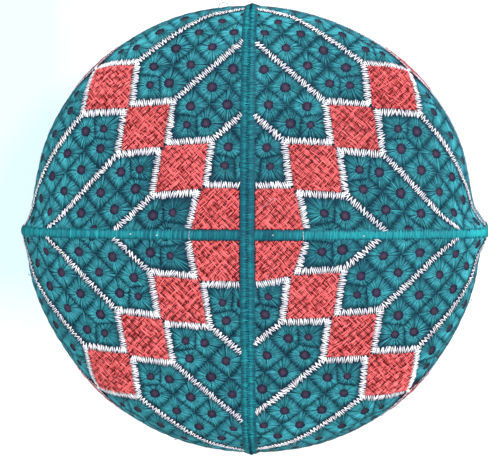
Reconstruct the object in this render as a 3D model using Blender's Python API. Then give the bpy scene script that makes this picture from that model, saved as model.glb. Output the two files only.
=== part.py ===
"""Four-panel embroidered cloth cap, rim down on the floor.

Four sewn panels make a gently domed crown, a round shoulder and an upright side wall.
Raised seam bands cover the four seams and a turned edge closes the rim.
A chain of raised coral squares runs down the middle of each panel.
Units are metres. +Z is up, +X is the right of the picture and +Y its top.
"""
import bmesh
import bpy
import numpy as np

MM = 0.001

# profile along a meridian of the outside, from the crown's middle to the rim
CROWN_SLOPE = np.radians(17.0)   # where the gently domed crown meets the shoulder
CROWN_RADIUS = 76.8              # mm, plan radius of the crown
SHOULDER_RADIUS = 25.4           # mm, bend of the shoulder
WALL_SLOPE = np.radians(88.0)    # the side wall widens a little downwards
PANEL_ARC = 156.0                # mm along the meridian from the middle to the panel's lower edge
HEM_TOP = 6.0                    # mm above the floor
SEAM_GAP = 0.3                   # mm left between neighbouring pieces
CLOTH = 2.0                      # mm, thickness of the embroidered cloth

# how the plan outline strays from a circle: angle in degrees, offset in mm, spread in degrees
BULGES = [(10.0, -1.8, 10.0), (38.0, -0.2, 17.0), (67.0, -1.1, 15.0), (90.0, -0.6, 14.0),
          (116.0, 0.4, 17.0), (142.0, 0.6, 17.0), (170.0, -1.3, 9.5), (192.0, 0.8, 11.0),
          (218.0, -1.1, 17.0), (244.0, -0.9, 17.0), (270.0, -1.2, 17.0), (296.0, -0.4, 17.0),
          (322.0, 0.0, 17.0), (347.0, 0.9, 11.0)]
# fold creases where the crosswise seam meets the side:
# angle in degrees, offset in mm, spread on its clockwise side, spread on its other side in degrees
CREASES = [(0.0, 4.2, 4.2, 3.4), (180.0, 2.4, 2.7, 4.7)]
OUTLINE_FROM, OUTLINE_FULL = 55.0, 105.0   # mm of arc over which both grow in

# the panel's pattern: distance along the panel's middle line to each corner of the chain, mm
CHAIN = [4.1, 26.2, 49.8, 71.9, 98.6, 121.5, 144.5]
# the same for each square's side corners, then the half width from there to a side corner, mm
SIDE_CORNERS = [15.15, 38.0, 60.85, 84.45, 109.5, 132.6]
HALF_ACROSS = [12.0, 14.0, 13.3, 13.5, 13.5, 13.5]
FILL_SHARE = 0.96         # what a square's solid fills of it, so neighbours stay apart at their corners
# how far a straight line across the panel falls towards its seams, mm:
# distance along the middle line, fall at the lengthwise seam, fall at the crosswise seam
SAG_P = [0.0, 20.0, 40.0, 60.0, 85.0]
SAG_LENGTHWISE = [0.0, 6.7, 15.1, 23.6, 27.8]
SAG_CROSSWISE = [0.0, 9.1, 17.6, 23.2, 25.8]
WRAP_FROM, WRAP_FULL = 60.0, 110.0   # mm over which widths stop fanning out from the middle
STRETCH_LENGTHWISE, STRETCH_CROSSWISE = 1.01, 1.05   # widths towards each seam
# how each panel's handwork strays, by the angle of its middle line: mm further out, share more with p,
# share more with q, then mm further across, share more with p, share more with q
STRAY = {45.0: (0.1, 0.017, -0.048, -0.6, 0.019, 0.012), 135.0: (0.5, -0.002, 0.030, 0.5, -0.029, 0.001),
         225.0: (1.6, -0.029, -0.036, -1.4, 0.024, -0.001), 315.0: (-2.1, 0.014, 0.063, 1.8, -0.022, -0.013)}

BAND_LENGTHWISE_WIDTH = 5.8   # mm
BAND_CROSSWISE_WIDTH = 4.0    # mm
BAND_THICK = 0.9              # mm, lengthwise
CROSSWISE_SHARE = 0.7         # thickness of the crosswise bands as a share of that
FIRST_CROSSWISE, FIRST_LENGTHWISE = 22.2, 18.3   # mm, the first square's reach beside each band
SQUARE_OFF = 0.35             # mm, gap between a panel and a raised square
SQUARE_THICK = 0.4            # mm
EDGE_OVERHANG = 0.5           # mm, how far the turned edge stands out on each side of the cloth

# colour (linear), roughness, metallic
LOOKS = {
    "teal_panel": ((0.012, 0.160, 0.180), 0.62, 0.0),
    "teal_band": ((0.012, 0.215, 0.240), 0.55, 0.0),
    "teal_edge": ((0.010, 0.150, 0.170), 0.60, 0.0),
    "coral_thread": ((0.700, 0.100, 0.110), 0.55, 0.0),
}

QUARTERS = [("north_east", "ne", 0.0), ("north_west", "nw", 90.0),
            ("south_west", "sw", 180.0), ("south_east", "se", 270.0)]
# degrees from the crosswise seam at which a panel has a column of corners, close near the crease
COLUMNS = [0, 1.5, 3, 5, 7.5, 11, 15, 20, 26, 33, 40, 47, 54, 61, 68, 75, 82.5, 90]
SHOULDER_START = CROWN_RADIUS / np.sin(CROWN_SLOPE) * CROWN_SLOPE
SHOULDER_END = SHOULDER_START + SHOULDER_RADIUS * (WALL_SLOPE - CROWN_SLOPE)
ROWS = np.concatenate([[14.0, 30.0, 46.0, 60.0], np.linspace(SHOULDER_START, SHOULDER_END, 9),
                       [124.0, 140.0, PANEL_ARC]])


def profile(arc):
    """Plan radius and drop below the crown at a distance along the meridian, in mm."""
    dome = CROWN_RADIUS / np.sin(CROWN_SLOPE)
    on_dome = np.minimum(arc, SHOULDER_START) / dome
    bend = CROWN_SLOPE + np.clip((arc - SHOULDER_START) / SHOULDER_RADIUS, 0, WALL_SLOPE - CROWN_SLOPE)
    past = np.maximum(arc - SHOULDER_END, 0)
    radius = dome * np.sin(on_dome) + SHOULDER_RADIUS * (np.sin(bend) - np.sin(CROWN_SLOPE))
    drop = dome * (1 - np.cos(on_dome)) + SHOULDER_RADIUS * (np.cos(CROWN_SLOPE) - np.cos(bend))
    return radius + past * np.cos(WALL_SLOPE), drop + past * np.sin(WALL_SLOPE)


def smooth(x):
    x = np.clip(x, 0, 1)
    return x * x * (3 - 2 * x)


def outline(angle_deg):
    """Offset of the plan outline from a circle in mm: low bulges and flats, and two sharp creases."""
    total = 0.0
    rows = [(at, size, spread, spread) for at, size, spread in BULGES] + CREASES
    for at, size, clockwise, other in rows:
        away = (np.asarray(angle_deg) - at + 180) % 360 - 180
        total = total + size * np.exp(-(away / np.where(away > 0, other, clockwise)) ** 2)
    return total


APEX = HEM_TOP + SEAM_GAP + profile(PANEL_ARC)[1]   # mm, height of the cloth at the middle


def skin(arc, angle_deg):
    """Point of the cap's outside in mm."""
    arc = np.asarray(arc, float)
    radius, drop = profile(arc)
    grown = smooth((arc - OUTLINE_FROM) / (OUTLINE_FULL - OUTLINE_FROM))
    radius = radius + grown * outline(angle_deg)
    a = np.radians(angle_deg)
    return np.stack([radius * np.cos(a), radius * np.sin(a), APEX - drop], -1)


def normal(arc, angle_deg):
    """Outward direction of the skin. On a seam it is kept in the seam's own upright plane."""
    arc = np.asarray(arc, float)
    step = 0.2
    low = np.maximum(arc - step, 0.05)
    along = skin(arc + step, angle_deg) - skin(low, angle_deg)
    turn = np.degrees(step / np.maximum(profile(arc)[0], step))
    across = skin(arc, angle_deg + turn) - skin(arc, angle_deg - turn)
    out = np.cross(along, across)
    out = np.where((arc > step)[..., None], out, [0.0, 0.0, 1.0])
    a = np.radians(angle_deg)
    side = np.stack([-np.sin(a), np.cos(a), np.zeros_like(a)], -1)
    on_seam = (np.abs((np.asarray(angle_deg) + 45) % 90 - 45) < 0.01)[..., None]
    out = np.where(on_seam, out - side * np.sum(out * side, -1, keepdims=True), out)
    return out / np.linalg.norm(out, axis=-1, keepdims=True)


def offset_skin(arc, angle_deg, height):
    arc, angle_deg = np.broadcast_arrays(np.asarray(arc, float), np.asarray(angle_deg, float))
    return skin(arc, angle_deg) + normal(arc, angle_deg) * height


def pattern(p, q, middle_deg):
    """Arc and angle of a pattern point: p along the panel's middle line, q across it, in mm."""
    out, out_p, out_q, aside, aside_p, aside_q = STRAY[middle_deg]
    p, q = np.asarray(p, float), np.asarray(q, float)
    p, q = p + out + out_p * p + out_q * q, q + aside + aside_p * p + aside_q * q
    lengthwise = (q > 0) == (middle_deg in (45.0, 225.0))
    wide = np.abs(q) * np.where(lengthwise, STRETCH_LENGTHWISE, STRETCH_CROSSWISE)
    wrap = smooth((p - WRAP_FROM) / (WRAP_FULL - WRAP_FROM))
    reach = (1 - wrap) * p + wrap * profile(p)[0]
    turn = np.arctan2(wide, np.maximum(reach, 1e-6))
    for _ in range(20):
        miss = reach * ((1 - wrap) * np.tan(turn) + wrap * 1.05 * turn) - wide
        turn = turn - miss / (reach * ((1 - wrap) / np.cos(turn) ** 2 + wrap * 1.05))
    fall = np.where(lengthwise, np.interp(p, SAG_P, SAG_LENGTHWISE), np.interp(p, SAG_P, SAG_CROSSWISE))
    arc = p + fall * (1 / np.cos(turn) - 1) / (np.sqrt(2) - 1)
    return arc, middle_deg + np.sign(q) * np.degrees(turn)


def look(name):
    found = bpy.data.materials.get(name)
    if found:
        return found
    colour, rough, metal = LOOKS[name]
    made = bpy.data.materials.new(name)
    made.use_nodes = True
    shader = made.node_tree.nodes["Principled BSDF"]
    shader.inputs["Base Color"].default_value = (*colour, 1)
    shader.inputs["Roughness"].default_value = rough
    shader.inputs["Metallic"].default_value = metal
    made.diffuse_color = (*colour, 1)
    return made


def add_object(name, points_mm, faces, material):
    mesh = bpy.data.meshes.new(name)
    mesh.from_pydata([tuple(float(c) * MM for c in p) for p in points_mm], [], faces)
    bm = bmesh.new()
    bm.from_mesh(mesh)
    bmesh.ops.recalc_face_normals(bm, faces=bm.faces)
    bmesh.ops.triangulate(bm, faces=bm.faces)
    bm.to_mesh(mesh)
    bm.free()
    ob = bpy.data.objects.new(name, mesh)
    ob.parent = cap
    bpy.context.scene.collection.objects.link(ob)
    mesh.materials.append(look(material))
    return ob


def grid_faces(rows, cols, at):
    """Quads of a rows x cols net of point numbers, at(row, col)."""
    return [(at(i, j), at(i, j + 1), at(i + 1, j + 1), at(i + 1, j))
            for i in range(rows - 1) for j in range(cols - 1)]


def slab(outer, inner):
    """Closed body between two nets of points of the same shape."""
    rows, cols = outer.shape[:2]
    count = rows * cols
    points = np.concatenate([outer.reshape(-1, 3), inner.reshape(-1, 3)])
    top = grid_faces(rows, cols, lambda i, j: i * cols + j)
    under = [tuple(count + k for k in reversed(face)) for face in top]
    ring = [(0, j) for j in range(cols)] + [(i, cols - 1) for i in range(1, rows)]
    ring += [(rows - 1, j) for j in range(cols - 2, -1, -1)] + [(i, 0) for i in range(rows - 2, 0, -1)]
    rim = [i * cols + j for i, j in ring]
    sides = [(rim[k - 1], rim[k], count + rim[k], count + rim[k - 1]) for k in range(len(rim))]
    return points, top + under + sides


def panel(name, start_deg):
    """One gore: outside and inside skins that meet along the seams and the lower edge."""
    mirrored = start_deg in (90.0, 270.0)
    columns = np.array([90 - c for c in COLUMNS][::-1] if mirrored else COLUMNS, float)
    arc, angle = np.meshgrid(ROWS, start_deg + columns, indexing="ij")
    outer = offset_skin(arc, angle, 0.0)
    inner = offset_skin(arc, angle, -CLOTH)
    # the lower edge is level, and both skins reach it
    inner[-1, :, 2] = outer[-1, :, 2]
    middle = np.radians(start_deg + 45)
    shift = np.array([np.cos(middle), np.sin(middle), 0]) * SEAM_GAP / 2 * np.sqrt(2)
    rows, cols = outer.shape[:2]
    points, faces = slab(outer, inner)
    count = rows * cols
    points = np.concatenate([points, [[0, 0, APEX], [0, 0, APEX - CLOTH]]]) + shift
    crown, under = 2 * count, 2 * count + 1
    row_zero = {(j, j + 1) for j in range(cols - 1)}
    # the open first row closes at the two middle points
    closed = [f for f in faces if not ({f[0], f[1]} in [set(e) for e in row_zero]
                                       and f[2] == count + f[1] and f[3] == count + f[0])]
    closed += [(crown, j, j + 1) for j in range(cols - 1)]
    closed += [(under, count + j + 1, count + j) for j in range(cols - 1)]
    closed += [(crown, under, count, 0), (crown, cols - 1, count + cols - 1, under)]
    return add_object(name, points, closed, "teal_panel")


def band_arcs(start):
    """Distances from the middle at which a band has a section, from its inner end to the rim."""
    crown = np.linspace(start, SHOULDER_START, 7)
    shoulder = np.linspace(SHOULDER_START, SHOULDER_END, 11)
    return np.concatenate([crown, shoulder[1:], [120, 132, 145, PANEL_ARC]])


def band(arcs, angles, half_width, high):
    """Seam band: a rounded strip along a path over the skin, up to a height over it."""
    low = SEAM_GAP
    base = skin(arcs, angles)
    up = normal(arcs, angles)
    tangent = np.gradient(base, axis=0)
    across = np.cross(tangent, up)
    across = across / np.linalg.norm(across, axis=1, keepdims=True)
    section = [(-1.0, low), (1.0, low), (1.0, low + 0.45 * (high - low)), (0.62, high - 0.12),
               (0.0, high), (-0.62, high - 0.12), (-1.0, low + 0.45 * (high - low))]
    net = np.stack([base + across * half_width * x + up * h for x, h in section], 1)
    rows, cols = net.shape[:2]
    faces = [(i * cols + j, i * cols + (j + 1) % cols,
              (i + 1) * cols + (j + 1) % cols, (i + 1) * cols + j)
             for i in range(rows - 1) for j in range(cols)]
    faces += [tuple(range(cols))[::-1], tuple((rows - 1) * cols + j for j in range(cols))]
    return net, faces


def flat_foot(net):
    """The lower end of a band is cut level, just above the turned edge."""
    net[-1, :, 2] = HEM_TOP + SEAM_GAP
    return net


def lengthwise_band():
    half = band_arcs(10.0)
    arcs = np.concatenate([half[::-1], [0.0], half])
    angles = np.where(np.arange(len(arcs)) < len(half), 270.0, 90.0)
    net, faces = band(arcs, angles, BAND_LENGTHWISE_WIDTH / 2, SEAM_GAP + BAND_THICK)
    middle = len(half)
    # on the middle itself the band lies flat
    for j, (x, h) in enumerate([(-1, 0), (1, 0), (1, 0.45), (0.62, 0.9), (0, 1), (-0.62, 0.9), (-1, 0.45)]):
        side = net[middle + 1, j, 0]
        net[middle, j] = [side, 0, APEX + SEAM_GAP + h * BAND_THICK]
    net[0, :, 2] = HEM_TOP + SEAM_GAP
    net[-1, :, 2] = HEM_TOP + SEAM_GAP
    add_object("band_lengthwise", net.reshape(-1, 3), faces, "teal_band")


def crosswise_band(name, angle):
    start = BAND_LENGTHWISE_WIDTH / 2 + SEAM_GAP
    arcs = band_arcs(start)
    net, faces = band(arcs, np.full(len(arcs), angle), BAND_CROSSWISE_WIDTH / 2,
                      SEAM_GAP + BAND_THICK * CROSSWISE_SHARE)
    # the inner end is cut square beside the lengthwise band
    net[0, :, 0] = start * np.cos(np.radians(angle))
    net[-1, :, 2] = HEM_TOP + SEAM_GAP
    add_object(name, net.reshape(-1, 3), faces, "teal_band")


def square(name, middle_deg, number):
    """Raised coral square, a thin bent tile just off the cloth."""
    if number == 0:
        arc, angle = spread_over(first_square(middle_deg), from_plan)
    else:
        inner, outer, side = CHAIN[number], CHAIN[number + 1], SIDE_CORNERS[number]
        trim = (outer - inner) / 2 * (1 - FILL_SHARE)
        wide = HALF_ACROSS[number] * FILL_SHARE
        corners = [(inner + trim, 0.0), (side, -wide), (outer - trim, 0.0), (side, wide)]
        arc, angle = spread_over(corners, lambda p, q: pattern(p, q, middle_deg))
    low = offset_skin(arc, angle, SQUARE_OFF)
    high = offset_skin(arc, angle, SQUARE_OFF + SQUARE_THICK)
    points, faces = slab(high, low)
    add_object(name, points, faces, "coral_thread")


def spread_over(corners, to_skin):
    """Arc and angle of a net of points between four corners."""
    steps = np.linspace(0, 1, 5)
    u, v = np.meshgrid(steps, steps, indexing="ij")
    shares = ((1 - u) * (1 - v), u * (1 - v), u * v, (1 - u) * v)
    return to_skin(*(sum(share * corner[k] for share, corner in zip(shares, corners)) for k in (0, 1)))


def from_plan(x, y):
    """Arc and angle of a point near the middle, seen from above, in mm."""
    dome = CROWN_RADIUS / np.sin(CROWN_SLOPE)
    return dome * np.arcsin(np.hypot(x, y) / dome), np.degrees(np.arctan2(y, x))


def first_square(middle_deg):
    """The square nearest the middle is cut short by both bands; corners seen from above, in mm."""
    right = 1 if middle_deg in (45.0, 315.0) else -1
    top = 1 if middle_deg in (45.0, 135.0) else -1
    beside_long = BAND_LENGTHWISE_WIDTH / 2 + SEAM_GAP + 0.2
    beside_cross = BAND_CROSSWISE_WIDTH / 2 + SEAM_GAP + 0.2
    outer = skin(*pattern(CHAIN[1] - (1 - FILL_SHARE) * 12.0, 0.0, middle_deg))
    return [(right * beside_long, top * beside_cross), (right * FIRST_CROSSWISE, top * beside_cross),
            (outer[0], outer[1]), (right * beside_long, top * FIRST_LENGTHWISE)]


def hem_edge():
    """Turned edge round the rim, with a flat foot that stands on the floor."""
    ahead = np.array(COLUMNS, float)
    back = 90 - ahead[::-1]
    angles = np.concatenate([(back if turn % 2 else ahead)[:-1] + 90 * turn for turn in range(4)])
    outside = skin(np.full(len(angles), PANEL_ARC), angles)[:, :2]
    out = normal(np.full(len(angles), PANEL_ARC), angles)[:, :2]
    out = out / np.linalg.norm(out, axis=1, keepdims=True)
    section = [(EDGE_OVERHANG, 0.0), (EDGE_OVERHANG, HEM_TOP - 0.8), (EDGE_OVERHANG - 0.5, HEM_TOP),
               (-CLOTH, HEM_TOP), (-CLOTH - EDGE_OVERHANG, HEM_TOP - 0.8), (-CLOTH - EDGE_OVERHANG, 0.0)]
    net = np.stack([np.column_stack([outside + out * x, np.full(len(angles), h)]) for x, h in section], 1)
    rows, cols = net.shape[:2]
    faces = [(i * cols + j, i * cols + (j + 1) % cols,
              ((i + 1) % rows) * cols + (j + 1) % cols, ((i + 1) % rows) * cols + j)
             for i in range(rows) for j in range(cols)]
    add_object("hem_edge", net.reshape(-1, 3), faces, "teal_edge")


for old in list(bpy.data.objects):
    bpy.data.objects.remove(old, do_unlink=True)

# all pieces hang from one empty, which sets the middle of the cap's outline over the origin
cap = bpy.data.objects.new("cap", None)
bpy.context.scene.collection.objects.link(cap)
cap.location = [-MM / 2 * (outline(a) - outline(a + 180)) for a in (0.0, 90.0)] + [0.0]

for long_name, short_name, start in QUARTERS:
    panel("panel_" + long_name, start)
    for index in range(len(HALF_ACROSS)):
        square(f"square_{short_name}_{index + 1}", start + 45.0, index)
lengthwise_band()
crosswise_band("band_crosswise_east", 0.0)
crosswise_band("band_crosswise_west", 180.0)
hem_edge()
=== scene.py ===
# %% [markdown]
# # An embroidered cloth cap
# The real cap is sewn from four embroidered panels that meet in the middle of the crown.
# Raised seam bands cover the four seams, and a turned edge closes the rim.
# Each panel carries a chain of coral squares down its middle, white outline stitching,
# and rows of eyelets whose teal stitches run out from a bare round spot of dark cloth.
#
# The solid model gives the sizes. This script adds the threads and the finishes around it.

import bpy
import numpy as np
from mathutils import Matrix, Vector


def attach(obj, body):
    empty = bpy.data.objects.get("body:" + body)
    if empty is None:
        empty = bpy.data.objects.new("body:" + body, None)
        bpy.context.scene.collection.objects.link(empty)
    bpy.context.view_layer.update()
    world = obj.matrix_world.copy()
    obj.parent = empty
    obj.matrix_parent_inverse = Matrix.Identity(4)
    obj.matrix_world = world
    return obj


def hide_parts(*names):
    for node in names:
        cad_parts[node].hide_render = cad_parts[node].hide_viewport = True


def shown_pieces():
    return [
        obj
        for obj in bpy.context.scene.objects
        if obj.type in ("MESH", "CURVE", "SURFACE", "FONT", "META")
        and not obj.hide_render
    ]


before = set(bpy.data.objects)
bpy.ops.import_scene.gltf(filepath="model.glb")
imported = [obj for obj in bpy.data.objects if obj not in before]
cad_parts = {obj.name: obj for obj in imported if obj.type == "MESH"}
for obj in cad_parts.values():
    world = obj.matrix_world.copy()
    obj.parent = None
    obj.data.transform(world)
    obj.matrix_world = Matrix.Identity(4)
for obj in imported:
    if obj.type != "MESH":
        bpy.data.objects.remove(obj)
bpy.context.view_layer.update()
MM = 0.001
chance = np.random.default_rng(11)

# %% [markdown]
# ## The cap's outside as a formula
# Every thread lies on the same curved cloth. Threads could be dropped onto a mesh of it, but they would
# catch on its faces, and that is slow. So the cloth is a function first and a mesh second.
# A point of it has an arc, the distance from the middle of the crown along the cloth in mm,
# and an angle round the cap. The profile is three joined curves: a gently domed crown,
# a round shoulder and a nearly upright wall. The same values made the solid panels.

# %% Profile of the cap
# lengths in mm, slopes in radians
CROWN_SLOPE = np.radians(17.0)
CROWN_RADIUS = 76.8
SHOULDER_RADIUS = 25.4
WALL_SLOPE = np.radians(88.0)
PANEL_ARC = 156.0
HEM_TOP = 6.0
SEAM_GAP = 0.3
CLOTH = 2.0
DOME_RADIUS = CROWN_RADIUS / np.sin(CROWN_SLOPE)
SHOULDER_START = DOME_RADIUS * CROWN_SLOPE
SHOULDER_END = SHOULDER_START + SHOULDER_RADIUS * (WALL_SLOPE - CROWN_SLOPE)


def profile(arc):
    """Plan radius and drop below the crown at a distance along the meridian, in mm."""
    on_dome = np.minimum(arc, SHOULDER_START) / DOME_RADIUS
    bend = CROWN_SLOPE + np.clip((arc - SHOULDER_START) / SHOULDER_RADIUS, 0, WALL_SLOPE - CROWN_SLOPE)
    past = np.maximum(arc - SHOULDER_END, 0)
    radius = DOME_RADIUS * np.sin(on_dome) + SHOULDER_RADIUS * (np.sin(bend) - np.sin(CROWN_SLOPE))
    drop = DOME_RADIUS * (1 - np.cos(on_dome)) + SHOULDER_RADIUS * (np.cos(CROWN_SLOPE) - np.cos(bend))
    return radius + past * np.cos(WALL_SLOPE), drop + past * np.sin(WALL_SLOPE)


def smooth(x):
    x = np.clip(x, 0, 1)
    return x * x * (3 - 2 * x)


APEX = HEM_TOP + SEAM_GAP + profile(PANEL_ARC)[1]
print("height of the cloth at the middle in mm:", round(APEX, 1))

# %% [markdown]
# The plan isn't a true circle. A soft cap stands with low bulges and flats,
# and it has kept two sharp creases at the ends of the crosswise seam from being folded flat.
# A sum of soft bumps follows this with a few numbers and stays smooth between them.

# %% Plan outline, with its creases
# angle in degrees, offset in mm, spread in degrees
BULGES = [(10.0, -1.8, 10.0), (38.0, -0.2, 17.0), (67.0, -1.1, 15.0), (90.0, -0.6, 14.0),
          (116.0, 0.4, 17.0), (142.0, 0.6, 17.0), (170.0, -1.3, 9.5), (192.0, 0.8, 11.0),
          (218.0, -1.1, 17.0), (244.0, -0.9, 17.0), (270.0, -1.2, 17.0), (296.0, -0.4, 17.0),
          (322.0, 0.0, 17.0), (347.0, 0.9, 11.0)]
# angle, offset, spread on its clockwise side, spread on its other side
CREASES = [(0.0, 4.2, 4.2, 3.4), (180.0, 2.4, 2.7, 4.7)]
OUTLINE_FROM, OUTLINE_FULL = 55.0, 105.0


def outline(angle_deg):
    """Offset of the plan outline from a circle in mm."""
    total = 0.0
    rows = [(at, size, spread, spread) for at, size, spread in BULGES] + CREASES
    for at, size, clockwise, other in rows:
        away = (np.asarray(angle_deg) - at + 180) % 360 - 180
        total = total + size * np.exp(-(away / np.where(away > 0, other, clockwise)) ** 2)
    return total


# the solid model sets the middle of the outline over the origin
SHIFT = np.array([(outline(a + 180) - outline(a)) / 2 for a in (0.0, 90.0)] + [0.0])


def skin(arc, angle_deg):
    """Point of the cap's outside in mm."""
    radius, drop = profile(arc)
    grown = smooth((arc - OUTLINE_FROM) / (OUTLINE_FULL - OUTLINE_FROM))
    radius = radius + grown * outline(angle_deg)
    a = np.radians(angle_deg)
    return np.stack([radius * np.cos(a), radius * np.sin(a), APEX - drop], -1) + SHIFT


def unit(vectors):
    """Each vector at a length of one."""
    return vectors / np.linalg.norm(vectors, axis=-1, keepdims=True)


def normal(arc, angle_deg):
    """Outward direction of the skin."""
    step = 0.2   # mm to either side
    along = skin(arc + step, angle_deg) - skin(np.maximum(arc - step, 0.05), angle_deg)
    turn = np.degrees(step / np.maximum(profile(arc)[0], step))
    across = skin(arc, angle_deg + turn) - skin(arc, angle_deg - turn)
    return unit(np.where((arc > step)[..., None], np.cross(along, across), [0.0, 0.0, 1.0]))


def above(arc, angle_deg, height):
    """Point at a height in mm over the cloth."""
    arc, angle_deg, height = np.broadcast_arrays(*(np.asarray(v, float) for v in (arc, angle_deg, height)))
    return skin(arc, angle_deg) + normal(arc, angle_deg) * height[..., None]


offsets = outline(np.arange(360))
print("plan offsets in mm run from", round(offsets.min(), 1), "to", round(offsets.max(), 1))

# %% [markdown]
# ## The pattern's own coordinates
# The maker embroidered each panel flat. There a point has p, its distance along the panel's middle line,
# and q, its distance across. Sewn up, the panel fans out over the crown and wraps round the wall,
# so a straight line across the flat panel sags towards both seams.
# The function pattern turns (p, q) into an arc and an angle for all the work between the seams.

# %% Sizes of the pattern
# mm along a panel's middle line: the squares' corners, the squares' starts (the fifth starts a little off
# the fourth), and the side corners, from which the white lines run
CHAIN = np.array([4.1, 26.2, 49.8, 71.9, 98.6, 121.5, 144.5])
STARTS = CHAIN[:-1] + [0.0, 0.0, 0.0, 0.0, 5.6, 0.0]
LINES = np.array([15.15, 38.0, 60.85, 84.45, 109.5, 132.6])
HALF_ACROSS = [12.0, 14.0, 13.3, 13.5, 13.5, 13.5]   # mm, half width of each square
# mm by which a line across the panel has sagged at a seam, by the line's p
SAG_P = [0.0, 20.0, 40.0, 60.0, 85.0]
SAG_LENGTHWISE = [0.0, 6.7, 15.1, 23.6, 27.8]
SAG_CROSSWISE = [0.0, 9.1, 17.6, 23.2, 25.8]
WRAP_FROM, WRAP_FULL = 60.0, 110.0   # mm, where the panel begins to wrap round the wall, and does so fully
WRAP_TIGHT = 1.05   # mm of flat panel in one mm round the wall
STRETCH_LENGTHWISE, STRETCH_CROSSWISE = 1.01, 1.05
LEVEL_FROM, LEVEL_FULL, LEVEL_SHARE = 60.0, 85.0, 0.6   # past this p a line levels off beside the seams
# how each panel's handwork strays, by the angle of its middle line: mm further out, share more with p,
# share more with q, then mm further across, share more with p, share more with q
STRAY = {45.0: (0.1, 0.017, -0.048, -0.6, 0.019, 0.012), 135.0: (0.5, -0.002, 0.030, 0.5, -0.029, 0.001),
         225.0: (1.6, -0.029, -0.036, -1.4, 0.024, -0.001), 315.0: (-2.1, 0.014, 0.063, 1.8, -0.022, -0.013)}
# degrees, each panel's middle line
PANELS = {"north_east": 45.0, "north_west": 135.0, "south_west": 225.0, "south_east": 315.0}
print("squares along a panel in mm:", np.round(CHAIN[1:] - STARTS, 1))

# %% [markdown]
# The width of the flat panel at a point is known, and the angle that spans it on the cap is not.
# Between the flat crown and the round wall no formula gives that angle, so a loop closes in on it.
# A table of sag then moves the point down towards the seams.

# %% From flat panel to cap
def toward_lengthwise(middle_deg):
    """Sign of q on the side of the lengthwise seam."""
    return 1 if middle_deg in (45.0, 225.0) else -1


def pattern(p, q, middle_deg):
    """Arc and angle of a point of the flat panel."""
    out, out_p, out_q, aside, aside_p, aside_q = STRAY[middle_deg]
    p, q = np.broadcast_arrays(np.asarray(p, float), np.asarray(q, float))
    p, q = p + out + out_p * p + out_q * q, q + aside + aside_p * p + aside_q * q
    lengthwise = q * toward_lengthwise(middle_deg) > 0
    wide = np.abs(q) * np.where(lengthwise, STRETCH_LENGTHWISE, STRETCH_CROSSWISE)
    wrap = smooth((p - WRAP_FROM) / (WRAP_FULL - WRAP_FROM))
    reach = (1 - wrap) * p + wrap * profile(p)[0]
    turn = np.arctan2(wide, np.maximum(reach, 1e-6))
    for _ in range(12):   # each round brings the turn closer to the one whose width is right
        miss = reach * ((1 - wrap) * np.tan(turn) + wrap * WRAP_TIGHT * turn) - wide
        turn = turn - miss / (reach * ((1 - wrap) / np.cos(turn) ** 2 + wrap * WRAP_TIGHT))
    fall = np.where(lengthwise, np.interp(p, SAG_P, SAG_LENGTHWISE), np.interp(p, SAG_P, SAG_CROSSWISE))
    share = (1 / np.cos(turn) - 1) / (np.sqrt(2) - 1)
    level = LEVEL_SHARE * smooth((p - LEVEL_FROM) / (LEVEL_FULL - LEVEL_FROM))
    arc = p + fall * (share - level * np.maximum(share - 0.5, 0))
    return arc, middle_deg + np.sign(q) * np.degrees(turn)


def near_middle(p, q, middle_deg):
    """Arc and angle of a point by the crown's middle, where the cloth is nearly flat and nothing strays."""
    return DOME_RADIUS * np.arcsin(np.hypot(p, q) / DOME_RADIUS), middle_deg + np.degrees(np.arctan2(q, p))


def room_to_seam(arc, angle_deg, middle_deg):
    """Distance in mm along the cloth to the nearer seam's middle, negative past it."""
    away = np.abs(angle_deg - middle_deg)
    return np.radians(45.0 - away) * profile(arc)[0]


print("white lines at p =", np.round(LINES, 1), "mm")

# %% [markdown]
# ## Writing nodes as sums
# Both kinds of node tree, for shapes and for finishes, are easier to read as arithmetic.
# A Wire holds one output socket, and adding or multiplying two of them adds a Math node.
# A Sheet is the tree to write on, and its one method adds any other node.

# %% Wires
class Wire:
    """One output socket, with arithmetic."""

    def __init__(self, sheet, socket):
        self.sheet = sheet
        self.socket = socket

    def math(self, operation, *others):
        return self.sheet.node("ShaderNodeMath", {"operation": operation}, dict(enumerate((self, *others))))

    def __add__(self, other):
        return self.math("ADD", other)

    def __sub__(self, other):
        return self.math("SUBTRACT", other)

    def __rsub__(self, other):
        return self.sheet.node("ShaderNodeMath", {"operation": "SUBTRACT"}, {0: other, 1: self})

    def __mul__(self, other):
        return self.math("MULTIPLY", other)

    def __truediv__(self, other):
        return self.math("DIVIDE", other)

    __radd__ = __add__
    __rmul__ = __mul__

    def sine(self):
        return self.math("SINE")

    def root(self):
        return self.math("SQRT")

    def held(self):
        """The value kept between 0 and 1."""
        return self.sheet.node("ShaderNodeClamp", {}, {"Value": self})

    def other(self, name):
        """Another output of the same node."""
        return Wire(self.sheet, self.socket.node.outputs[name])


print("a wire also knows:", [name for name in vars(Wire) if name[0] != "_"])

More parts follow.
